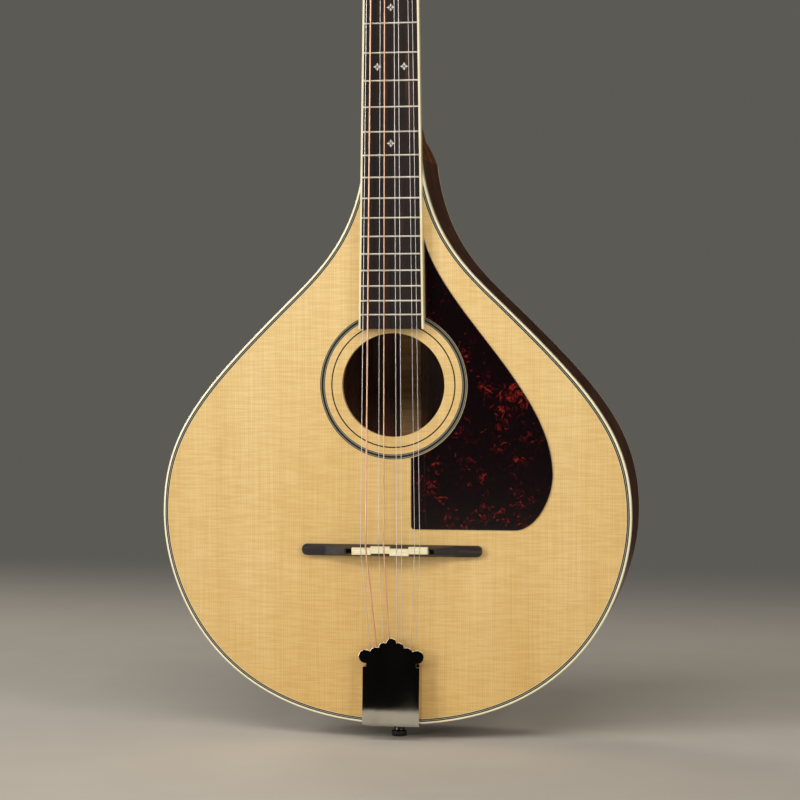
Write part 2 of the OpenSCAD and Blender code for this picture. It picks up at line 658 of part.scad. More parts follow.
// ---------- tuners ----------
strip_low = first_post_z - 12;
strip_len = 3 * post_gap + 27;
strip_half = 7;
module plate_screw_places() for (s = [-1, 1], k = [0:3])
    translate([s * post_x, 0, first_post_z - 9 + k * post_gap + (k == 0 ? 0 : -5)]) children();
module tuner_plate(side) head_frame() difference() {
    union() {
        translate([side * post_x - strip_half, head_t, strip_low]) cube([2 * strip_half, plate_t, strip_len]);
        for (k = [0:3], t = [-1, 1])
            translate([side * post_x + t * 5.7 - 0.8, head_t, post_z(k) + gear_gap - 2.7])
                cube([1.6, 6, 5.4]);
    }
    for (k = [0:3]) translate([side * post_x, 0, post_z(k)])
        along_y(post_r + fit_gap, head_t - 1, head_t + 5);
    for (k = [0:3]) translate([side * post_x - 20, worm_y, post_z(k) + gear_gap]) rotate([0, 90, 0])
        cylinder(r = 1.6 + fit_gap, h = 40);
    plate_screw_places() along_y(screw_r + fit_gap, head_t - 1, head_t + 5);
}
module tuner_plate_bass() color("#c8c6c0") tuner_plate(-1);
module tuner_plate_treble() color("#c8c6c0") tuner_plate(1);
module tuner_plate_screws() color("#c8c6c0") head_frame() plate_screw_places()
    translate([0, head_t + plate_t, 0]) {
        along_y(1.9, 0, 0.8);
        along_y(screw_r, -8, 0);
    }
module tuner_ferrules() color("#c8c6c0") head_frame() at_posts() difference() {
    union() {
        along_y(bush_r, -headplate_t, 7);
        along_y(6, -headplate_t - 1.1, -headplate_t);
    }
    along_y(post_r + fit_gap, -9, 9);
}
module tuner_key(i) {
    side = tuner_side(i);
    color("#c8c6c0") head_frame() translate([side * post_x, worm_y, post_z(tuner_step(i)) + gear_gap])
        rotate([0, side * 90, 0]) {
            translate([0, 0, -7.6]) cylinder(r = 1.6, h = 27);
            translate([0, 0, -4.5]) cylinder(r = 1.9, h = 9);
            translate([0, 0, 17.4]) cylinder(r1 = 2.2, r2 = 3, h = 3.4);
        }
    color("#efe6cf") head_frame() translate([side * (post_x + 27), worm_y, post_z(tuner_step(i)) + gear_gap])
        intersection() {
            along_y(6.7, -3, 3);
            rotate([0, 90, 0]) translate([0, 0, -7]) cylinder(r = 5.6, h = 14);
        }
}
gear_teeth = 16;
tooth_h = 1.1;
module gear_flat() polygon([for (k = [0:gear_teeth - 1], q = [[-0.32, 0], [-0.16, 1], [0.16, 1], [0.32, 0]])
    let (a = (k + q[0]) * 360 / gear_teeth, r = gear_r - tooth_h * (1 - q[1])) [r * cos(a), r * sin(a)]]);
module string_post(i) color("#c8c6c0") head_frame()
    translate([tuner_side(i) * post_x, 0, post_z(tuner_step(i))]) {
        along_y(post_r, -headplate_t - 15, head_t + plate_t + 0.3);
        plate(head_t + plate_t + 0.3, head_t + plate_t + 0.3 + gear_t) gear_flat();
        along_y(2.4, head_t + plate_t + gear_t, head_t + plate_t + gear_t + 1.4);
    }

soundboard();
back_plate();
rib_bass();
rib_treble();
lining_top();
lining_back();
neck_block();
tail_block();
top_braces();
back_braces();
back_strip();
soundhole_ring();
top_binding();
top_purfling();
back_binding();
rosette_rings();
pickguard();
end_graft();
end_pin();
neck();
heel_cap();
headplate();
fingerboard();
fingerboard_binding();
fingerboard_wedge();
frets();
fret_markers();
side_dots();
nut();
truss_rod();
truss_rod_nut();
truss_rod_cover();
cover_screws();
bridge();
saddle();
strings_plain();
strings_wound();
tailpiece_base();
tailpiece_screws();
tailpiece_cover();
tuner_plate_bass();
tuner_plate_treble();
tuner_plate_screws();
tuner_ferrules();
for (i = [1:8]) tuner_key(i);
for (i = [1:8]) string_post(i);
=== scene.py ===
"""Looks of a flat-top bouzouki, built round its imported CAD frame.

Pieces are drawn in millimetres and shown in metres, +Z up the neck, soundboard towards -Y.
"""

import json
import math

import bmesh
import bpy
from mathutils import Matrix, Vector


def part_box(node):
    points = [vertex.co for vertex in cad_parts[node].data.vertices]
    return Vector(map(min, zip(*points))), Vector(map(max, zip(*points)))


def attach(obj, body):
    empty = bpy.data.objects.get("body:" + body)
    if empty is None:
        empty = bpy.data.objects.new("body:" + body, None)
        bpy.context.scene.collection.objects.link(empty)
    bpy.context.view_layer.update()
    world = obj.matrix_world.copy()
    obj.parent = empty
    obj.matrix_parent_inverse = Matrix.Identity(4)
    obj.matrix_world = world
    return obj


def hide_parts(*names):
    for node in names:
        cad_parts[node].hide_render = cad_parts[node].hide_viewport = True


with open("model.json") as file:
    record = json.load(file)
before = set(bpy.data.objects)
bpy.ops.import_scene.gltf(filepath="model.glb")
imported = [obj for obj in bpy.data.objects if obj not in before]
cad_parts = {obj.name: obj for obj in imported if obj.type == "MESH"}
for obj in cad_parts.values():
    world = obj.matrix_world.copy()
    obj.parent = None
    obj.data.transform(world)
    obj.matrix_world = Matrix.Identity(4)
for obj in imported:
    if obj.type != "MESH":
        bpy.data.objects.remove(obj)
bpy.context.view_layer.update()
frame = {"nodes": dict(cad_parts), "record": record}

MM = 0.001
ROOT = "instrument"

# ---------- places taken from the frame, in millimetres ----------
binding_low, binding_high = (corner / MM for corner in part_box("top_binding"))
back_low, back_high = (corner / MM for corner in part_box("back_plate"))
board_low, board_high = (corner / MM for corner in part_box("soundboard"))
FRONT = binding_low.y
BACK = back_high.y
TAIL = binding_low.z
BODY_W = binding_high.x - binding_low.x
BODY_LEN = binding_high.z - binding_low.z
TOP_T = board_high.y - board_low.y
BACK_T = back_high.y - back_low.y
rosette_low, rosette_high = (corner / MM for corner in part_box("rosette_rings"))
HOLE_Z = (rosette_low.z + rosette_high.z) / 2
ROSETTE_R = (rosette_high.z - rosette_low.z) / 2

# ---------- sizes that the frame's boxes don't give, in millimetres ----------
HOLE_R = 36.9
BINDING_W = 1.5
BINDING_D = binding_high.y - binding_low.y
BACK_BINDING_D = 3.5
PURFLING_D = 1.5
RIB_T = 2.4
GRAFT_W = 14.0
BELLY_Z = 149.8
NECK_ANGLE = math.radians(0.9)
BOARD_T = 6.3
BOARD_TAPER = 0.0283
SADDLE_Z = 127.5
SCALE_LEN = 660.0
NUT_Z = SADDLE_Z + SCALE_LEN
NUT_W = 32.3
EDGE_W = 1.4
FRET_COUNT = 24
FRET_W = 1.4
FRET_H = 0.9
MERGE = 0.0005  # points closer than this are one
CAD_MERGE = 0.002  # the same, among a CAD node's loose triangles

# the body's outline: its waist and neck joint, each line's angle there, and how far each curve follows it
WAIST_X, WAIST_DROP, WAIST_ANGLE = 78.9, 103.5, 44.2
JOINT_X, JOINT_ANGLE = 20.6, 6.2
TAIL_PULL, BELLY_PULL_LOW, BELLY_PULL_HIGH = 131.4, 55.2, 56.2
WAIST_PULL_LOW, WAIST_PULL_HIGH, JOINT_PULL = 90, 33.5, 56.4

RING_MM = 1.5  # growth rings of the soundboard
BAND_LEN = 0.314  # a wave pattern's bands repeat at this length at scale 1

# lines inside the front binding, from the binding inwards: name, width; the last, pale line is a painted
# highlight on the spruce's edge
PURFLING = [("outer_black", 0.75), ("grey", 0.5), ("inner_black", 0.75), ("pale", 0.3)]
PURFLING_W = sum(width for _, width in PURFLING)
# the outer ring of the rosette, from its rim inwards
ROSETTE = [("black_a", 0.5), ("grey_a", 0.45), ("black_b", 1.5), ("grey_b", 0.45), ("black_c", 0.5)]
INNER_LINE_R = 44.85
INNER_LINE_W = 0.9
ROSETTE_PROUD = 0.02
ROSETTE_D = 1


# ---------- colour and shader nodes ----------
def srgb(code):
    """A hex colour as the linear values that a shader takes."""
    parts = [int(code[i : i + 2], 16) / 255 for i in (1, 3, 5)]
    return (*[c / 12.92 if c <= 0.04045 else ((c + 0.055) / 1.055) ** 2.4 for c in parts], 1.0)


def add(tree, kind, inputs=None, stops=None, **settings):
    """Adds one node: its settings, its inputs as values or links, and a ramp's stops."""
    made = tree.nodes.new("ShaderNode" + kind)
    for key, value in settings.items():
        setattr(made, key, value)
    for key, value in (inputs or {}).items():
        if isinstance(value, bpy.types.NodeSocket):
            tree.links.new(value, made.inputs[key])
        else:
            made.inputs[key].default_value = value
    for i, (place, code) in enumerate(stops or []):
        ramp = made.color_ramp.elements
        stop = ramp[i] if i < 2 else ramp.new(place)
        stop.position = place
        stop.color = srgb(code)
    return made


def material(name, **surface):
    """A material with its shader's own values set: it, its tree, its shader and the object coordinates."""
    made = bpy.data.materials.new(name)
    made.use_nodes = True
    tree = made.node_tree
    shader = tree.nodes["Principled BSDF"]
    for key, value in surface.items():
        shader.inputs[key.replace("_", " ")].default_value = value
    return made, tree, shader, add(tree, "TexCoord").outputs["Object"]


def every(mm):
    """The scale of a pattern whose features are this many millimetres apart."""
    return 1 / (mm * MM)


def stretched(tree, place, x, y, z):
    """Coordinates for a pattern whose features are x, y and z millimetres apart."""
    return add(tree, "Mapping", {0: place, "Scale": (every(x), every(y), every(z))}).outputs[0]


def finish_surface(tree, shader, colour, roughness=None, height=None, bump=0.0001, strength=0.3):
    """Links a colour, and where given a roughness and a relief that is bump metres deep."""
    tree.links.new(colour, shader.inputs["Base Color"])
    if roughness is not None:
        tree.links.new(roughness, shader.inputs["Roughness"])
    if height is not None:
        relief = add(tree, "Bump", {"Height": height, "Distance": bump, "Strength": strength})
        tree.links.new(relief.outputs[0], shader.inputs["Normal"])


# ---------- materials ----------
def lacquered_spruce():
    """Bookmatched spruce under clear gloss lacquer: straight rings, darker late wood, faint silk across.

    The real rings are about 1 mm apart, and are drawn at RING_MM so that they show.
    """
    made, tree, shader, place = material(
        "spruce_clear_lacquer", Roughness=0.42, Coat_Weight=0.55, Coat_Roughness=0.06, Coat_IOR=1.5)
    axes = add(tree, "SeparateXYZ", {0: place})
    from_seam = add(tree, "Math", {0: axes.outputs[0]}, operation="ABSOLUTE").outputs[0]
    wander = add(tree, "TexNoise",
                 {"Vector": stretched(tree, place, 111.1, 111.1, 400), "Scale": 1.0, "Detail": 2.0})
    drift = add(tree, "Math", {0: wander.outputs[0], 1: 0.012, 2: from_seam},
                operation="MULTIPLY_ADD").outputs[0]
    across = add(tree, "CombineXYZ", {0: drift}).outputs[0]
    rings = add(tree, "TexWave", {"Vector": across, "Scale": BAND_LEN * every(RING_MM), "Distortion": 0.0},
                wave_type="BANDS", bands_direction="X", wave_profile="SAW").outputs[1]
    uneven = add(tree, "TexNoise", {"Vector": across, "Scale": every(3.846), "Detail": 1.0}).outputs[0]
    line = add(tree, "Math", {0: rings, 1: uneven}, operation="MULTIPLY").outputs[0]
    fibre = add(tree, "TexNoise",
                {"Vector": stretched(tree, place, 0.6667, 2.5, 45.45), "Scale": 1.0, "Detail": 3.0})
    silk = add(tree, "TexNoise",
               {"Vector": stretched(tree, place, 16.67, 16.67, 1.176), "Scale": 1.0, "Detail": 3.0})
    broad = add(tree, "TexNoise",
                {"Vector": stretched(tree, place, 38.46, 125, 333.3), "Scale": 1.0, "Detail": 2.0})
    light = add(tree, "ValToRGB", {0: broad.outputs[0]}, stops=[(0.35, "#e9cc8c"), (0.65, "#efd69b")])
    strength = add(tree, "Math", {0: line, 1: 0.6}, operation="MULTIPLY").outputs[0]
    late = add(tree, "Mix", {0: strength, 6: light.outputs[0], 7: srgb("#cfa468")}, data_type="RGBA")
    fibres = add(tree, "ValToRGB", {0: fibre.outputs[0]}, stops=[(0.3, "#e2cfae"), (0.7, "#ffffff")])
    fine = add(tree, "Mix", {0: 0.35, 6: late.outputs[2], 7: fibres.outputs[0]},
               data_type="RGBA", blend_type="MULTIPLY")
    silks = add(tree, "ValToRGB", {0: silk.outputs[0]}, stops=[(0.38, "#ead9bd"), (0.62, "#ffffff")])
    crossed = add(tree, "Mix", {0: 0.45, 6: fine.outputs[2], 7: silks.outputs[0]},
                  data_type="RGBA", blend_type="MULTIPLY")
    # painted shade: the soundboard's colour is multiplied darker and warmer towards the tail, from 0.3 m of
    # height down to 0.02 m
    height = add(tree, "MapRange", {0: axes.outputs[2], 1: 0.02, 2: 0.3}).outputs[0]
    painted_shade_ramp = add(tree, "ValToRGB", {0: height}, stops=[(0.0, "#e9dfc8"), (1.0, "#ffffff")])
    painted_shade_mix = add(tree, "Mix", {0: 1.0, 6: crossed.outputs[2], 7: painted_shade_ramp.outputs[0]},
                data_type="RGBA", blend_type="MULTIPLY")
    finish_surface(tree, shader, painted_shade_mix.outputs[2], height=line, bump=0.00003, strength=0.15)
    return made


def stained_mahogany(name="mahogany_stained_gloss", light="#8a604c", dark="#553a2e"):
    """Ribbon-striped mahogany, stained and lacquered: short dark dashes of pores, soft bands of tone."""
    made, tree, shader, place = material(
        name, Roughness=0.38, Coat_Weight=0.6, Coat_Roughness=0.08, Coat_IOR=1.5)
    ribbon = add(tree, "TexNoise",
                 {"Vector": stretched(tree, place, 10.53, 10.53, 250), "Scale": 1.0, "Detail": 3.0})
    grain = add(tree, "TexNoise",
                {"Vector": stretched(tree, place, 1.429, 1.429, 33.33), "Scale": 1.0, "Detail": 4.0})
    pore = add(tree, "TexNoise",
               {"Vector": stretched(tree, place, 0.4348, 0.4348, 6.667), "Scale": 1.0, "Detail": 1.0})
    bands = add(tree, "ValToRGB", {0: ribbon.outputs[0]}, stops=[(0.3, dark), (0.72, light)])
    streaks = add(tree, "ValToRGB", {0: grain.outputs[0]}, stops=[(0.3, "#8c7a70"), (0.7, "#ffffff")])
    streaked = add(tree, "Mix", {0: 0.6, 6: bands.outputs[0], 7: streaks.outputs[0]},
                   data_type="RGBA", blend_type="MULTIPLY")
    pores = add(tree, "ValToRGB", {0: pore.outputs[0]}, stops=[(0.3, "#2a1710"), (0.42, "#ffffff")])
    open_grain = add(tree, "Mix", {0: 0.7, 6: streaked.outputs[2], 7: pores.outputs[0]},
                     data_type="RGBA", blend_type="MULTIPLY")
    finish_surface(tree, shader, open_grain.outputs[2], height=pore.outputs[0], bump=0.00005, strength=0.15)
    return made


def bare_softwood():
    """Unfinished spruce inside the body: pale, dry, fuzzy along the grain."""
    made, tree, shader, place = material("spruce_bare_planed", Roughness=0.8)
    grain = add(tree, "TexNoise",
                {"Vector": stretched(tree, place, 33.33, 2, 3.333), "Scale": 1.0, "Detail": 4.0})
    colour = add(tree, "ValToRGB", {0: grain.outputs[0]}, stops=[(0.3, "#b98d58"), (0.7, "#dcb883")])
    finish_surface(tree, shader, colour.outputs[0], height=grain.outputs[0], bump=0.0002)
    return made


def oiled_rosewood():
    """Dark rosewood, oiled and buffed: near-black figure with brown streaks, fine pores, a soft shine."""
    made, tree, shader, place = material("rosewood_oiled", Specular_IOR_Level=0.22)
    figure = add(tree, "TexNoise",
                 {"Vector": stretched(tree, place, 4.167, 4.167, 142.9), "Scale": 1.0, "Detail": 4.0,
                  "Distortion": 0.4})
    pore = add(tree, "TexNoise",
               {"Vector": stretched(tree, place, 0.4167, 0.4167, 8.333), "Scale": 1.0, "Detail": 2.0})
    streaks = add(tree, "ValToRGB", {0: figure.outputs[0]},
                  stops=[(0.3, "#140e0b"), (0.62, "#241914"), (0.75, "#4a2b1b")])
    pores = add(tree, "ValToRGB", {0: pore.outputs[0]}, stops=[(0.32, "#56463e"), (0.5, "#ffffff")])
    colour = add(tree, "Mix", {0: 0.7, 6: streaks.outputs[0], 7: pores.outputs[0]},
                 data_type="RGBA", blend_type="MULTIPLY")
    shine = add(tree, "MapRange", {0: pore.outputs[0], 3: 0.68, 4: 0.55})
    finish_surface(tree, shader, colour.outputs[2], shine.outputs[0], pore.outputs[0], 0.0001, 0.25)
    return made


def waxed_ebony():
    """Ebony sanded fine and waxed: almost black, with thin brown streaks and a satin bloom."""
    made, tree, shader, place = material("ebony_waxed", Specular_IOR_Level=0.3)
    figure = add(tree, "TexNoise",
                 {"Vector": stretched(tree, place, 71.43, 2.381, 2.381), "Scale": 1.0, "Detail": 4.0})
    colour = add(tree, "ValToRGB", {0: figure.outputs[0]},
                 stops=[(0.35, "#211d1c"), (0.6, "#2d2725"), (0.74, "#4a3628")])
    shine = add(tree, "MapRange", {0: figure.outputs[0], 3: 0.34, 4: 0.48})
    finish_surface(tree, shader, colour.outputs[0], shine.outputs[0], figure.outputs[0], 0.00006, 0.2)
    return made


def cream_celluloid():
    """Cream celluloid binding, scraped and lacquered: even, slightly waxy, faintly cloudy."""
    made, tree, shader, place = material(
        "celluloid_cream_scraped", Roughness=0.32, Coat_Weight=0.4, Coat_Roughness=0.08,
        Subsurface_Weight=0.08, Subsurface_Scale=0.001)
    cloud = add(tree, "TexNoise", {"Vector": place, "Scale": every(18.18), "Detail": 3.0})
    scrape = add(tree, "TexNoise", {"Vector": place, "Scale": every(0.4), "Detail": 1.0})
    colour = add(tree, "ValToRGB", {0: cloud.outputs[0]}, stops=[(0.3, "#ece0b8"), (0.7, "#f7eed0")])
    finish_surface(tree, shader, colour.outputs[0], height=scrape.outputs[0], bump=0.00002, strength=0.15)
    return made


def fibre_line(name, low, high):
    """A thin strip under lacquer, flat colour broken by a faint grain: dyed fibre for the dark and grey
    lines, a painted highlight for the pale one.
    """
    made, tree, shader, place = material(name, Roughness=0.35, Coat_Weight=0.5, Coat_Roughness=0.06)
    grain = add(tree, "TexNoise", {"Vector": place, "Scale": every(1.111), "Detail": 2.0})
    colour = add(tree, "ValToRGB", {0: grain.outputs[0]}, stops=[(0.3, low), (0.7, high)])
    finish_surface(tree, shader, colour.outputs[0], height=grain.outputs[0], bump=0.00001, strength=0.1)
    return made


def tortoise_celluloid():
    """Tortoise-pattern celluloid, polished: red and amber flakes sunk in a near-black ground."""
    made, tree, shader, place = material(
        "celluloid_tortoise_polished", Roughness=0.16, Coat_Weight=0.5, Coat_Roughness=0.03)
    push = add(tree, "TexNoise", {"Vector": place, "Scale": every(11.76), "Detail": 2.0})
    shift = add(tree, "VectorMath", {0: push.outputs[1], 1: (0.5, 0.5, 0.5)}, operation="SUBTRACT")
    swirl = add(tree, "VectorMath", {0: shift.outputs[0], 1: (0.045, 0.045, 0.045), 2: place},
                operation="MULTIPLY_ADD").outputs[0]
    flake = add(tree, "TexNoise", {"Vector": swirl, "Scale": every(5.882), "Detail": 4.0, "Roughness": 0.6})
    patch = add(tree, "TexNoise", {"Vector": place, "Scale": every(23.81), "Detail": 1.0})
    amount = add(tree, "Math", {0: patch.outputs[0], 1: 0.55, 2: flake.outputs[0]},
                 operation="MULTIPLY_ADD")
    colour = add(tree, "ValToRGB", {0: amount.outputs[0]},
                 stops=[(0.80, "#0c0406"), (1.0, "#7a2016"), (0.87, "#1c0507"), (0.94, "#4c0d0f")])
    finish_surface(tree, shader, colour.outputs[0])
    return made


def polished_bone():
    """Bone, shaped and polished: warm ivory with faint lengthwise pores."""
    made, tree, shader, place = material(
        "bone_polished", Roughness=0.3, Subsurface_Weight=0.1, Subsurface_Scale=0.001)
    pore = add(tree, "TexNoise",
               {"Vector": stretched(tree, place, 8.333, 1.111, 1.111), "Scale": 1.0, "Detail": 3.0})
    colour = add(tree, "ValToRGB", {0: pore.outputs[0]}, stops=[(0.3, "#dccf9f"), (0.65, "#efe8c8")])
    finish_surface(tree, shader, colour.outputs[0], height=pore.outputs[0], bump=0.00003, strength=0.2)
    return made


def polished_nickel(name="nickel_plate_polished", rough=(0.015, 0.04), tones=("#b9b4aa", "#cfcac0")):
    """Nickel plate, buffed: a warm mirror, dulled a little by wipe marks and fine hairlines."""
    made, tree, shader, place = material(name, Metallic=1.0)
    wipe = add(tree, "TexNoise",
               {"Vector": stretched(tree, place, 16.67, 16.67, 40), "Scale": 1.0, "Detail": 3.0})
    hairline = add(tree, "TexNoise",
                   {"Vector": stretched(tree, place, 3.333, 3.333, 0.2), "Scale": 1.0, "Detail": 1.0})
    colour = add(tree, "ValToRGB", {0: wipe.outputs[0]}, stops=[(0.3, tones[0]), (0.7, tones[1])])
    shine = add(tree, "MapRange", {0: wipe.outputs[0], 1: 0.3, 2: 0.7, 3: rough[0], 4: rough[1]})
    finish_surface(tree, shader, colour.outputs[0], shine.outputs[0], hairline.outputs[0], 0.000004, 0.1)
    return made


def drawn_metal(name, low, high, rough, wrap_mm):
    """Drawn or wound wire: bright metal crossed by the winding's ridges, every wrap_mm along it."""
    made, tree, shader, place = material(name, Metallic=1.0)
    ridge = add(tree, "TexWave", {"Vector": place, "Scale": BAND_LEN * every(wrap_mm), "Distortion": 0.0},
                wave_type="BANDS", bands_direction="Z", wave_profile="SIN").outputs[1]
    tarnish = add(tree, "TexNoise", {"Vector": place, "Scale": every(14.29), "Detail": 3.0})
    colour = add(tree, "ValToRGB", {0: tarnish.outputs[0]}, stops=[(0.3, low), (0.7, high)])
    shine = add(tree, "MapRange", {0: tarnish.outputs[0], 3: rough, 4: rough + 0.12})
    finish_surface(tree, shader, colour.outputs[0], shine.outputs[0], ridge, 0.00008, 0.35)
    return made


def mother_of_pearl():
    """Mother of pearl, inlaid and levelled: cloudy layers that turn from silver to rose and green."""
    made, tree, shader, place = material(
        "pearl_inlay_levelled", Roughness=0.25, Coat_Weight=0.6, Coat_Roughness=0.05)
    layer = add(tree, "TexNoise", {"Vector": place, "Scale": every(2), "Detail": 3.0, "Distortion": 1.5})
    colour = add(tree, "ValToRGB", {0: layer.outputs[0]},
                 stops=[(0.3, "#bfc9c6"), (0.7, "#f2ece6"), (0.45, "#e3d3d2"), (0.58, "#d5dfd6")])
    finish_surface(tree, shader, colour.outputs[0], height=layer.outputs[0], bump=0.00002, strength=0.1)
    return made


def black_plastic():
    """Black moulded plastic, polished: deep gloss with a trace of handling scuffs."""
    made, tree, shader, place = material("plastic_black_polished", Coat_Weight=0.3, Coat_Roughness=0.05)
    scuff = add(tree, "TexNoise", {"Vector": place, "Scale": every(2.5), "Detail": 4.0})
    colour = add(tree, "ValToRGB", {0: scuff.outputs[0]}, stops=[(0.4, "#0e0e0f"), (0.7, "#1b1a1a")])
    shine = add(tree, "MapRange", {0: scuff.outputs[0], 1: 0.4, 2: 0.7, 3: 0.12, 4: 0.3})
    finish_surface(tree, shader, colour.outputs[0], shine.outputs[0])
    return made


def pearloid():
    """Pearloid tuner buttons: swirled cream flakes under a glossy moulded skin."""
    made, tree, shader, place = material(
        "pearloid_cream_moulded", Roughness=0.22, Coat_Weight=0.5, Coat_Roughness=0.04,
        Subsurface_Weight=0.1, Subsurface_Scale=0.002)
    flake = add(tree, "TexVoronoi", {"Vector": place, "Scale": every(2.381)}).outputs[1]
    tone = add(tree, "SeparateColor", {0: flake}).outputs[0]
    colour = add(tree, "ValToRGB", {0: tone}, stops=[(0.0, "#e3d6b4"), (1.0, "#f8f1dd")])
    finish_surface(tree, shader, colour.outputs[0], height=tone, bump=0.00002, strength=0.1)
    return made


def studio_floor():
    """Pale matt paper laid on the floor: plain, with soft edges that fade into the backdrop."""
    made, tree, shader, place = material("floor_pale_paper", Roughness=0.9, Specular_IOR_Level=0.0)
    axes = add(tree, "SeparateXYZ", {0: place})
    aside = add(tree, "Math", {0: axes.outputs[0]}, operation="ABSOLUTE").outputs[0]
    alpha = 1.0
    for edge, solid_at, gone_at in ((axes.outputs[1], 0.3, 1.2), (axes.outputs[1], -1.4, -1.48),
                                    (aside, 0.7, 1.3)):
        fade = add(tree, "MapRange", {0: edge, 1: solid_at, 2: gone_at, 3: 1.0, 4: 0.0},
                   interpolation_type="SMOOTHSTEP").outputs[0]
        alpha = add(tree, "Math", {0: fade, 1: alpha}, operation="MULTIPLY").outputs[0]
    tree.links.new(alpha, shader.inputs["Alpha"])
    mottle = add(tree, "TexNoise", {"Vector": place, "Scale": every(71.43), "Detail": 3.0})
    pale = add(tree, "ValToRGB", {0: mottle.outputs[0]}, stops=[(0.3, "#c6c0b6"), (0.7, "#cac4ba")])
    finish_surface(tree, shader, pale.outputs[0])
    return made


SPRUCE = lacquered_spruce()
MAHOGANY = stained_mahogany()
NECK_WOOD = stained_mahogany("mahogany_neck_gloss", "#b87848", "#74472a")
INNER_WOOD = bare_softwood()
ROSEWOOD = oiled_rosewood()
EBONY = waxed_ebony()
CREAM = cream_celluloid()
BLACK_LINE = fibre_line("fibre_black_dyed", "#0b0b0a", "#141413")
GREY_LINE = fibre_line("fibre_grey_dyed", "#86877a", "#9b9b8d")
# painted highlight: a pale strip that stands for the light caught on the spruce's edge inside the purfling
PAINTED_EDGE_HIGHLIGHT = fibre_line("pale_line_painted_highlight", "#dcc48e", "#ecd8a6")
TORTOISE = tortoise_celluloid()
BONE = polished_bone()
NICKEL = polished_nickel()
FRET_WIRE = polished_nickel("nickel_silver_fret_wire", (0.4, 0.5), ("#efe8d6", "#fbf6ea"))
STEEL_STRING = drawn_metal("steel_string_drawn", "#cbc8c6", "#e8e5e3", 0.3, 0.6)
BRONZE_STRING = drawn_metal("phosphor_bronze_wound", "#d9a88a", "#efc4a8", 0.32, 0.45)
PEARL = mother_of_pearl()
BLACK_PLASTIC = black_plastic()
BUTTON = pearloid()
BRASS = drawn_metal("brass_turned", "#a98742", "#c9a860", 0.28, 0.3)
ROD_STEEL = drawn_metal("steel_rod_drawn", "#6d6c69", "#8b8a86", 0.35, 0.8)
SLOT_FINISH = {
    "spruce_top": SPRUCE, "mahogany": MAHOGANY, "inner_wood": INNER_WOOD, "rosewood": ROSEWOOD,
    "ebony": EBONY, "cream_binding": CREAM, "line_inlay": BLACK_LINE, "tortoise": TORTOISE,
    "black_plastic": BLACK_PLASTIC, "fret_wire": FRET_WIRE, "pearl": PEARL, "bone": BONE,
    "rod_steel": ROD_STEEL, "brass": BRASS, "string_steel": STEEL_STRING, "string_bronze": BRONZE_STRING,
    "nickel": NICKEL, "tuner_button": BUTTON, "post_nickel": NICKEL}


# ---------- placing ----------
def shown(name, mesh, body, finish, replaces=(), sharp=35):
    """Puts a finished mesh on its body and finish."""
    mesh.name = name
    mesh.materials.clear()
    mesh.materials.append(finish)
    mesh.shade_smooth()
    mesh.set_sharp_from_angle(angle=math.radians(sharp))
    piece = bpy.data.objects.new(name, mesh)
    bpy.context.scene.collection.objects.link(piece)
    flat_faces = piece.modifiers.new("flat_faces", "WEIGHTED_NORMAL")
    flat_faces.keep_sharp = True
    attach(piece, body)
    if replaces:
        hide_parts(*replaces)
    return piece


def solid(name, bm, body, finish, replaces=(), sharp=35):
    """Turns a bmesh drawn in millimetres into a shown piece."""
    bmesh.ops.remove_doubles(bm, verts=bm.verts, dist=MERGE)
    bmesh.ops.recalc_face_normals(bm, faces=bm.faces)
    bmesh.ops.scale(bm, vec=(MM, MM, MM), verts=bm.verts)
    mesh = bpy.data.meshes.new(name)
    bm.to_mesh(mesh)
    bm.free()
    return shown(name, mesh, body, finish, replaces, sharp)


def neck_place():
    """From the neck's own frame, where y 0 is the fingerboard's underside, to the object's."""
    joint = Matrix.Translation((0, FRONT, TAIL + BODY_LEN))
    return joint @ Matrix.Rotation(-NECK_ANGLE, 4, "X") @ Matrix.Translation((0, 0, -BODY_LEN))


# ---------- mesh work ----------
def bezier(p, t):
    """The point at t, 0 to 1, of the curve with these four control points."""
    return (1 - t) ** 3 * p[0] + 3 * t * (1 - t) ** 2 * p[1] + 3 * t * t * (1 - t) * p[2] + t ** 3 * p[3]


def slope(p, t):
    """The curve's direction at t, not of unit length."""
    return 3 * (1 - t) ** 2 * (p[1] - p[0]) + 6 * t * (1 - t) * (p[2] - p[1]) + 3 * t * t * (p[3] - p[2])


def bend(points, steps, first=0):
    """A curve with four control points, as a list of points."""
    corners = [Vector(p) for p in points]
    return [bezier(corners, i / steps) for i in range(first, steps + 1)]


def body_half(inset=0.0):
    """The right half of the body's outline, from the tail to the neck joint, moved inwards."""
    tail, belly = Vector((0, 0)), Vector((BODY_W / 2, BELLY_Z))
    waist, joint = Vector((WAIST_X, BODY_LEN - WAIST_DROP)), Vector((JOINT_X, BODY_LEN))
    up = Vector((0, 1))
    waist_way = Matrix.Rotation(math.radians(90 - WAIST_ANGLE), 2) @ up
    joint_way = Matrix.Rotation(math.radians(JOINT_ANGLE), 2) @ up
    spans = [
        ((tail, Vector((TAIL_PULL, 0)), belly - BELLY_PULL_LOW * up, belly), 44),
        ((belly, belly + BELLY_PULL_HIGH * up, waist - WAIST_PULL_LOW * waist_way, waist), 28),
        ((waist, waist + WAIST_PULL_HIGH * waist_way, joint - JOINT_PULL * joint_way, joint), 26)]
    out = []
    for span, steps in spans:
        for i in range(1 if out else 0, steps + 1):
            along = slope(span, i / steps).normalized()
            out.append(bezier(span, i / steps) + inset * Vector((-along.y, along.x)))
    return out


def both_sides(half):
    """A half outline that starts on the centre line, with its mirror image before it."""
    return [Vector((-p.x, p.y)) for p in reversed(half[1:])] + list(half)


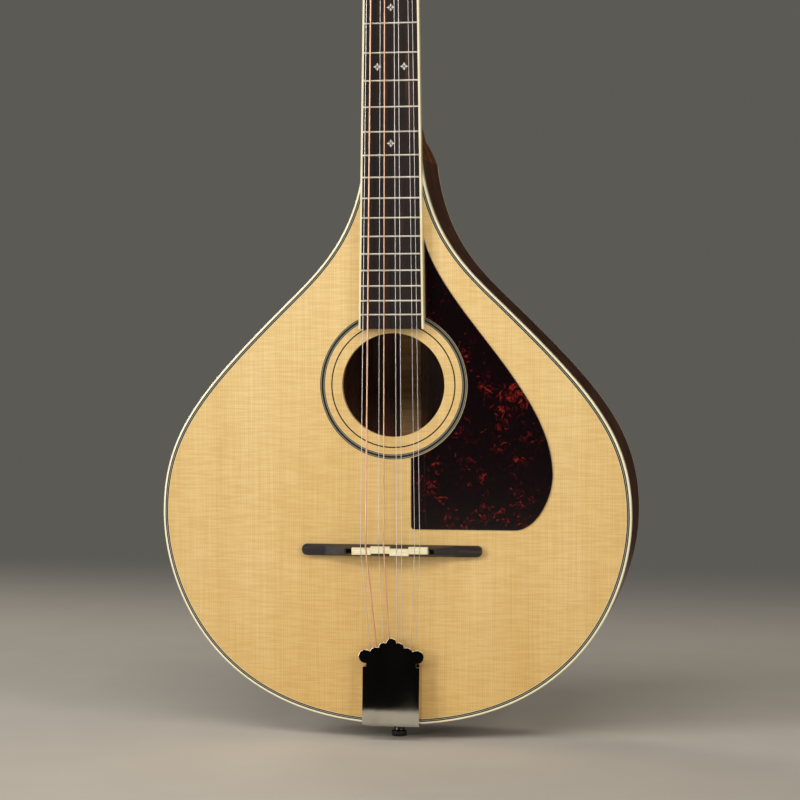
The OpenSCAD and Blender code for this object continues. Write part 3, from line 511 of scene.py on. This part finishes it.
def chain(bm, points, y, closed=False):
    """Joins flat points (x, height) at one depth by edges."""
    verts = [bm.verts.new((p[0], y, p[1])) for p in points]
    pairs = list(zip(verts, verts[1:])) + ([(verts[-1], verts[0])] if closed else [])
    return [bm.edges.new(pair) for pair in pairs]


def thicken(bm, faces, depth):
    """Pulls flat faces back into a closed solid."""
    pulled = bmesh.ops.extrude_face_region(bm, geom=faces)["geom"]
    moved = [v for v in pulled if isinstance(v, bmesh.types.BMVert)]
    bmesh.ops.translate(bm, verts=moved, vec=(0, depth, 0))


def strip(bm, outer, inner, y0, y1, closed=False):
    """A solid strip between two outlines and two depths."""
    edges = chain(bm, outer, y0, closed) + chain(bm, inner, y0, closed)
    faces = bmesh.ops.bridge_loops(bm, edges=edges)["faces"]
    thicken(bm, faces, y1 - y0)


def slab(bm, outline, y0, y1, holes=()):
    """A solid plate of one outline, with round holes (x, height, radius)."""
    edges = chain(bm, outline, y0, closed=True)
    for x, z, r in holes:
        edges += chain(bm, ring(r, 96, (x, z)), y0, closed=True)
    filled = bmesh.ops.triangle_fill(bm, use_beauty=True, edges=edges, normal=(0, -1, 0))["geom"]
    faces = [g for g in filled if isinstance(g, bmesh.types.BMFace)]
    if not holes:
        faces = bmesh.ops.dissolve_faces(bm, faces=faces)["region"]
    thicken(bm, faces, y1 - y0)


def ring(radius, steps, middle=(0, 0)):
    """A circle, as a list of points."""
    turns = [2 * math.pi * i / steps for i in range(steps)]
    return [Vector((middle[0] + radius * math.cos(a), middle[1] + radius * math.sin(a))) for a in turns]


def round_edges(bm, width, chosen, segments=3):
    """Rounds the edges that chosen says yes to."""
    edges = [e for e in bm.edges if len(e.link_faces) == 2 and chosen(e)]
    bmesh.ops.bevel(bm, geom=edges, offset=width, offset_type="OFFSET", segments=segments, profile=0.5,
                    affect="EDGES", material=-1, clamp_overlap=True)


def is_sharp(degrees=40):
    """A test for edges whose faces meet at more than this angle."""
    return lambda e: e.calc_face_angle(0) > math.radians(degrees)


# ---------- sound box ----------
def placed_solid(name, bm, finish, node, sharp=35):
    """Lifts a piece of the sound box to its place on the body and shows it."""
    bmesh.ops.translate(bm, verts=bm.verts, vec=(0, 0, TAIL))
    solid(name, bm, ROOT, finish, [node], sharp)


def line_finish(label):
    """The finish of a line of the purfling or the rosette: a dyed strip for the dark and grey lines, a
    painted highlight for the pale line.
    """
    return {"grey": GREY_LINE, "pale": PAINTED_EDGE_HIGHLIGHT}.get(label.split("_")[0], BLACK_LINE)


def soundboard():
    """The top, with its round hole's edge eased."""
    bm = bmesh.new()
    hole_z = HOLE_Z - TAIL
    slab(bm, both_sides(body_half(BINDING_W + PURFLING_W)), FRONT, FRONT + TOP_T, [(0, hole_z, HOLE_R)])
    round_edges(bm, 0.15, lambda e: is_sharp(60)(e) and all(
        abs(math.hypot(v.co.x, v.co.z - hole_z) - HOLE_R) < 0.3 for v in e.verts))
    placed_solid("spruce_soundboard", bm, SPRUCE, "soundboard", 50)


def body_binding(name, node, y0, y1, face_y):
    """A binding strip round the body, rounded along its outer edge on the face at face_y."""
    outside = both_sides(body_half(0))
    marks = {(round(p.x, 2), round(p.y, 2)) for p in outside}

    def on_rim(v):
        return (round(v.co.x, 2), round(v.co.z, 2)) in marks and abs(v.co.y - face_y) < 0.01

    bm = bmesh.new()
    strip(bm, outside, both_sides(body_half(BINDING_W)), y0, y1)
    round_edges(bm, 0.9, lambda e: all(on_rim(v) for v in e.verts), 4)
    placed_solid(name, bm, CREAM, node, 50)


def purfling():
    """The dark lines let in beside the front binding, and inside them a pale line that paints the highlight
    on the spruce's edge.
    """
    start = BINDING_W
    for label, width in PURFLING:
        bm = bmesh.new()
        outer, inner = both_sides(body_half(start)), both_sides(body_half(start + width))
        strip(bm, outer, inner, FRONT, FRONT + PURFLING_D)
        placed_solid(f"purfling_{label}", bm, line_finish(label), "top_purfling")
        start += width


def rib(side, node):
    """One side of the body, from the end graft to the neck joint."""
    rise = 0.12  # of the outline over the end graft's half width
    outer, inner = ([p for p in body_half(inset) if p.x > GRAFT_W / 2] for inset in (0, RIB_T))
    outer.insert(0, Vector((GRAFT_W / 2, rise)))
    inner.insert(0, Vector((GRAFT_W / 2, RIB_T + rise)))
    bm = bmesh.new()
    strip(bm, outer, inner, FRONT + BINDING_D, BACK - BACK_BINDING_D)
    if side < 0:
        bmesh.ops.scale(bm, vec=(-1, 1, 1), verts=bm.verts)
    placed_solid(node + "_wood", bm, MAHOGANY, node, 50)


def back_plate():
    """The flat back, inside its binding."""
    bm = bmesh.new()
    slab(bm, both_sides(body_half(BINDING_W)), BACK - BACK_T, BACK)
    placed_solid("mahogany_back", bm, MAHOGANY, "back_plate", 50)


def sound_box():
    soundboard()
    body_binding("cream_front_binding", "top_binding", FRONT, FRONT + BINDING_D, FRONT)
    body_binding("cream_back_binding", "back_binding", BACK - BACK_BINDING_D, BACK, BACK)
    purfling()
    rib(-1, "rib_bass")
    rib(1, "rib_treble")
    back_plate()


def rosette():
    """Inlaid rings round the sound hole, all but level with the soundboard."""
    rings = []
    radius = ROSETTE_R
    for label, width in ROSETTE:
        rings.append((label, radius, width))
        radius -= width
    rings.append(("inner_line", INNER_LINE_R, INNER_LINE_W))
    for label, radius, width in rings:
        bm = bmesh.new()
        outer, inner = (ring(r, 128, (0, HOLE_Z)) for r in (radius, radius - width))
        strip(bm, outer, inner, FRONT - ROSETTE_PROUD, FRONT + ROSETTE_D, closed=True)
        replaced = ["rosette_rings"] if label != "inner_line" else ()
        solid(f"rosette_{label}", bm, ROOT, line_finish(label), replaced)


def board_half(z):
    """Half the fingerboard's width at a height above the tail."""
    return NUT_W / 2 + BOARD_TAPER / 2 * (NUT_Z - z)


def fret_z(n):
    """The height of fret n by the equal-tempered rule."""
    return NUT_Z - SCALE_LEN * (1 - 2 ** (-n / 12))


def pickguard():
    """A flat plate fitted round the rosette and along the fingerboard, with its long side curved."""
    left, low, gap, thick = 12.7, 140.0, 0.4, 1
    belly_x, belly_z, tip_z, corner_r = 113.8, 180, 346, 2.3
    middle = HOLE_Z - TAIL
    r = ROSETTE_R + gap
    start = -math.acos(left / r)
    end = math.acos((board_half(290) + gap) / r)
    turns = [start + (end - start) * i / 60 for i in range(61)]
    arc = [Vector((r * math.cos(a), middle + r * math.sin(a))) for a in turns]
    tip = Vector((board_half(tip_z) + gap, tip_z))
    side = bend([tip, (37, 293), (belly_x, 239), (belly_x, belly_z)], 40)
    foot = bend([(belly_x, belly_z), (belly_x, 161), (101, low), (87, low)], 24, 1)
    corner = bend([(left + corner_r, low), (left + 1, low), (left, low + 1), (left, low + corner_r)], 6)
    bm = bmesh.new()
    slab(bm, arc + side + foot + corner, FRONT - thick, FRONT)
    round_edges(bm, 0.45, lambda e: is_sharp(60)(e) and all(
        abs(v.co.y - FRONT + thick) < 0.01 for v in e.verts))
    placed_solid("tortoise_pickguard", bm, TORTOISE, "pickguard", 50)


# ---------- bridge ----------
def bridge():
    """A floating bridge: flat wings, ramps that narrow towards the saddle, sloping sides below its slot."""
    low, high = (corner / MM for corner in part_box("bridge"))
    middle = (low.x + high.x) / 2
    half = (high.x - low.x) / 2
    half_w = (high.z - low.z) / 2
    top = FRONT - low.y
    wing, lip, shoulder, ease, end_r = 5.0, 1.95, 5.2, 0.5, 3.3
    end_h, rise = 4.2, 0.05
    ramp_foot, ramp_top, saddle_end = -45.5, -33.6, -32
    slot_half_w, slot_d = 1.6, 5
    # across, half the width, height of the top, half the top's width, height of the sides
    stations = []
    for step in range(9):
        turn = math.pi / 2 * step / 8
        across = -half + end_r * (1 - math.cos(turn))
        width = half_w - end_r * (1 - math.sin(turn))
        stations.append((across, width, end_h + rise * (across + half), width - ease, end_h - ease))
    stations += [(-half + 16, half_w, wing, half_w - ease, wing - ease),
                 (ramp_foot, half_w, wing + 0.3, half_w - ease, wing - ease),
                 (ramp_top, half_w, top, lip, shoulder), (saddle_end, half_w, top, lip, shoulder)]
    stations += [(-station[0], *station[1:]) for station in reversed(stations)]
    bm = bmesh.new()
    rows = []
    for x, w, h, t, side in stations:
        profile = [(w, 0), (w, side), (t, h), (-t, h), (-w, side), (-w, 0)]
        rows.append([bm.verts.new((x, FRONT - up, z)) for z, up in profile])
    loops = [[bm.edges.new(pair) for pair in zip(row, row[1:] + row[:1])] for row in rows]
    for one, two in zip(loops, loops[1:]):
        bmesh.ops.bridge_loops(bm, edges=one + two)
    bmesh.ops.holes_fill(bm, edges=[e for e in bm.edges if e.is_boundary], sides=0)
    bmesh.ops.recalc_face_normals(bm, faces=bm.faces)

    def saddle_bed(reach):
        """Faces on top, between the ends of the saddle and within reach of the middle line."""
        return [f for f in bm.faces if all(
            abs(v.co.x) < 0.1 - saddle_end and abs(v.co.y - FRONT + top) < 0.01 and abs(v.co.z) < reach
            for v in f.verts)]

    bmesh.ops.inset_region(
        bm, faces=saddle_bed(lip + 0.1), thickness=lip - slot_half_w, use_even_offset=True)
    cap = saddle_bed(slot_half_w + 0.1)
    sunk = bmesh.ops.extrude_face_region(bm, geom=cap)["geom"]
    bmesh.ops.delete(bm, geom=cap, context="FACES_ONLY")
    floor_verts = [g for g in sunk if isinstance(g, bmesh.types.BMVert)]
    bmesh.ops.translate(bm, verts=floor_verts, vec=(0, slot_d, 0))
    round_edges(bm, 0.25, is_sharp(50), 2)
    bmesh.ops.translate(bm, verts=bm.verts, vec=(middle, 0, (low.z + high.z) / 2))
    solid("ebony_bridge", bm, ROOT, EBONY, ["bridge"], 25)


def marker_petals():
    """Inlaid marks on the fingerboard: four pointed petals of pearl with a dot between each pair."""
    single, octave, apart = (3, 5, 7, 10, 15), 12, 9.6
    between = {n: (fret_z(n) + fret_z(n - 1)) / 2 for n in (*single, octave)}
    spots = [(0, between[n]) for n in single] + [(-apart, between[octave]), (apart, between[octave])]
    top, sunk = -BOARD_T - 0.03, -BOARD_T + 0.5
    right = bend([(0, 0.35), (0.75, 0.9), (0.95, 1.75), (0, 2.8)], 8)
    petal = right + [Vector((-p.x, p.y)) for p in reversed(right[1:-1])]
    bm = bmesh.new()
    for x, z in spots:
        for quarter in range(4):
            turn = Matrix.Rotation(math.radians(90 * quarter), 2)
            slab(bm, [turn @ p + Vector((x, z)) for p in petal], top, sunk)
            dot = turn @ Vector((1.15, 1.15)) + Vector((x, z))
            slab(bm, ring(0.28, 12, dot), top, sunk)
    bmesh.ops.transform(bm, matrix=neck_place(), verts=bm.verts)
    solid("pearl_petal_markers", bm, ROOT, PEARL, ["fret_markers"])


# ---------- the rest of the CAD nodes ----------
def polished_copy(node, body, edge, sharp, finish=None):
    """A CAD node's own shape, its triangles merged, its edges eased and its round faces shaded round."""
    slot = slots[node]
    bm = bmesh.new()
    bm.from_mesh(frame["nodes"][node].data)
    bmesh.ops.scale(bm, vec=(1 / MM, 1 / MM, 1 / MM), verts=bm.verts)
    bmesh.ops.remove_doubles(bm, verts=bm.verts, dist=CAD_MERGE)
    bmesh.ops.dissolve_limit(bm, angle_limit=math.radians(1), verts=bm.verts, edges=bm.edges)
    if edge:
        round_edges(bm, edge, is_sharp(), 2)
    solid(node + "_finished", bm, body, finish or SLOT_FINISH[slot], [node], sharp)


def frets():
    """Half-round frets with filed ends, seated on the fingerboard between its bindings."""
    bm = bmesh.new()
    end_slope = 0.6
    turns = [math.pi * i / 12 for i in range(13)]
    crown = [(end_slope * math.sin(a), FRET_H * math.sin(a), FRET_W / 2 * math.cos(a)) for a in turns]
    for n in range(1, FRET_COUNT + 1):
        z = fret_z(n)
        half = board_half(z) - EDGE_W
        verts = [bm.verts.new((filed - half, -BOARD_T - up, z + along)) for filed, up, along in crown]
        edges = [bm.edges.new(pair) for pair in zip(verts, verts[1:] + verts[:1])]
        pulled = bmesh.ops.extrude_edge_only(bm, edges=edges)["geom"]
        far = [g for g in pulled if isinstance(g, bmesh.types.BMVert)]
        for v in far:
            v.co.x = -v.co.x
        bmesh.ops.holes_fill(bm, edges=[e for e in bm.edges if e.is_boundary], sides=0)
    bmesh.ops.transform(bm, matrix=neck_place(), verts=bm.verts)
    solid("fret_crowns", bm, ROOT, FRET_WIRE, ["frets"], 50)


# the material slot and the body of every CAD node
slots = {part["node"]: part["material_slot"] for part in frame["record"]["subparts"]}
# node, how far its edges are eased, and the angle in degrees past which an edge stays crisp
FINISHED = [
    ("neck", 0, 35), ("heel_cap", 0.4, 35), ("headplate", 0.4, 35), ("fingerboard", 0, 35),
    ("fingerboard_binding", 0.3, 35), ("fingerboard_wedge", 0, 35), ("nut", 0.4, 35),
    ("truss_rod_cover", 0.4, 35), ("cover_screws", 0.1, 35), ("saddle", 0.4, 35), ("strings_plain", 0, 80),
    ("strings_wound", 0, 80), ("tailpiece_base", 0.3, 35), ("tailpiece_screws", 0.1, 35),
    ("tailpiece_cover", 0.35, 20), ("end_pin", 0.3, 35), ("tuner_plate_bass", 0.25, 35),
    ("tuner_plate_treble", 0.25, 35), ("end_graft", 0, 35), ("truss_rod_nut", 0.2, 35)]
FINISHED += [(f"tuner_key_{i}", 0.25, 35) for i in range(1, 9)]
FINISHED += [(f"string_post_{i}", 0.15, 35) for i in range(1, 9)]
bodies = {node: body for body, nodes in frame["record"]["behaviour"]["bodies"].items() for node in nodes}
for node_name, cad_node in frame["nodes"].items():
    for material_slot in cad_node.material_slots:
        material_slot.material = SLOT_FINISH[slots[node_name]]

sound_box()
rosette()
pickguard()
bridge()
frets()
marker_petals()
for node_name, edge, sharp in FINISHED:
    finish = NECK_WOOD if node_name == "neck" else None
    polished_copy(node_name, bodies[node_name], edge, sharp, finish)


# ---------- stage, lights, camera ----------
def softbox(name, place, aim, width, height, watts, tint):
    """A rectangular area light in metres, turned to face its aim."""
    light = bpy.data.lights.new(name, "AREA")
    light.shape = "RECTANGLE"
    light.size, light.size_y, light.energy = width, height, watts
    light.color = srgb(tint)[:3]
    lamp = bpy.data.objects.new(name, light)
    bpy.context.scene.collection.objects.link(lamp)
    way = Vector(aim) - Vector(place)
    lamp.matrix_world = Matrix.Translation(place) @ way.to_track_quat("-Z", "Y").to_matrix().to_4x4()


def floor():
    """A sheet of pale paper under the instrument."""
    bm = bmesh.new()
    bmesh.ops.create_grid(bm, x_segments=8, y_segments=8, size=1.5)
    mesh = bpy.data.meshes.new("floor")
    bm.to_mesh(mesh)
    bm.free()
    mesh.materials.append(studio_floor())
    sheet = bpy.data.objects.new("floor", mesh)
    bpy.context.scene.collection.objects.link(sheet)


def backdrop():
    """A plain grey backdrop, which hardly lights the instrument, so that the softboxes shape it."""
    world = bpy.data.worlds.new("studio")
    world.use_nodes = True
    tree = world.node_tree
    seen = add(tree, "LightPath").outputs["Is Camera Ray"]
    light = add(tree, "Mix", {0: seen, 6: srgb("#0f0f0e"), 7: srgb("#5c5a55")}, data_type="RGBA")
    tree.links.new(light.outputs[2], tree.nodes["Background"].inputs[0])
    bpy.context.scene.world = world


def lights():
    """Large softboxes: two in front, one high between them, and one behind on the bass side."""
    softbox("key", (-1.7, -1.5, 0.85), (0, 0, 0.3), 1.1, 1.65, 41, "#ffffff")
    softbox("overhead", (0.1, -1.9, 1.7), (0, 0, 0.35), 1.8, 0.7, 21, "#fffaf2")
    softbox("fill", (1.8, -1.5, 0.9), (0, 0, 0.3), 1.0, 1.5, 26, "#fff8ee")
    softbox("rear", (-1.8, 1.8, 1.2), (0, 0, 0.35), 0.9, 1.2, 24, "#fff8ee")


def camera():
    """A long lens in front of the sound hole, a little to the treble side and looking slightly down."""
    place = Vector((0.2751, -1.5999, 0.2983))
    yaw, pitch, roll = (math.radians(a) for a in (9.71, -1.96, 0.2))
    turn = Matrix.Rotation(yaw, 4, "Z") @ Matrix.Rotation(pitch, 4, "X") @ Matrix.Rotation(roll, 4, "Y")
    data = bpy.data.cameras.new("camera")
    data.sensor_width = 36
    data.lens = 101.5
    made = bpy.data.objects.new("camera", data)
    bpy.context.scene.collection.objects.link(made)
    made.matrix_world = Matrix.Translation(place) @ turn @ Matrix.Rotation(math.radians(90), 4, "X")
    bpy.context.scene.camera = made


floor()
backdrop()
lights()
camera()
bpy.context.scene.view_settings.view_transform = "Standard"

bpy.context.view_layer.update()
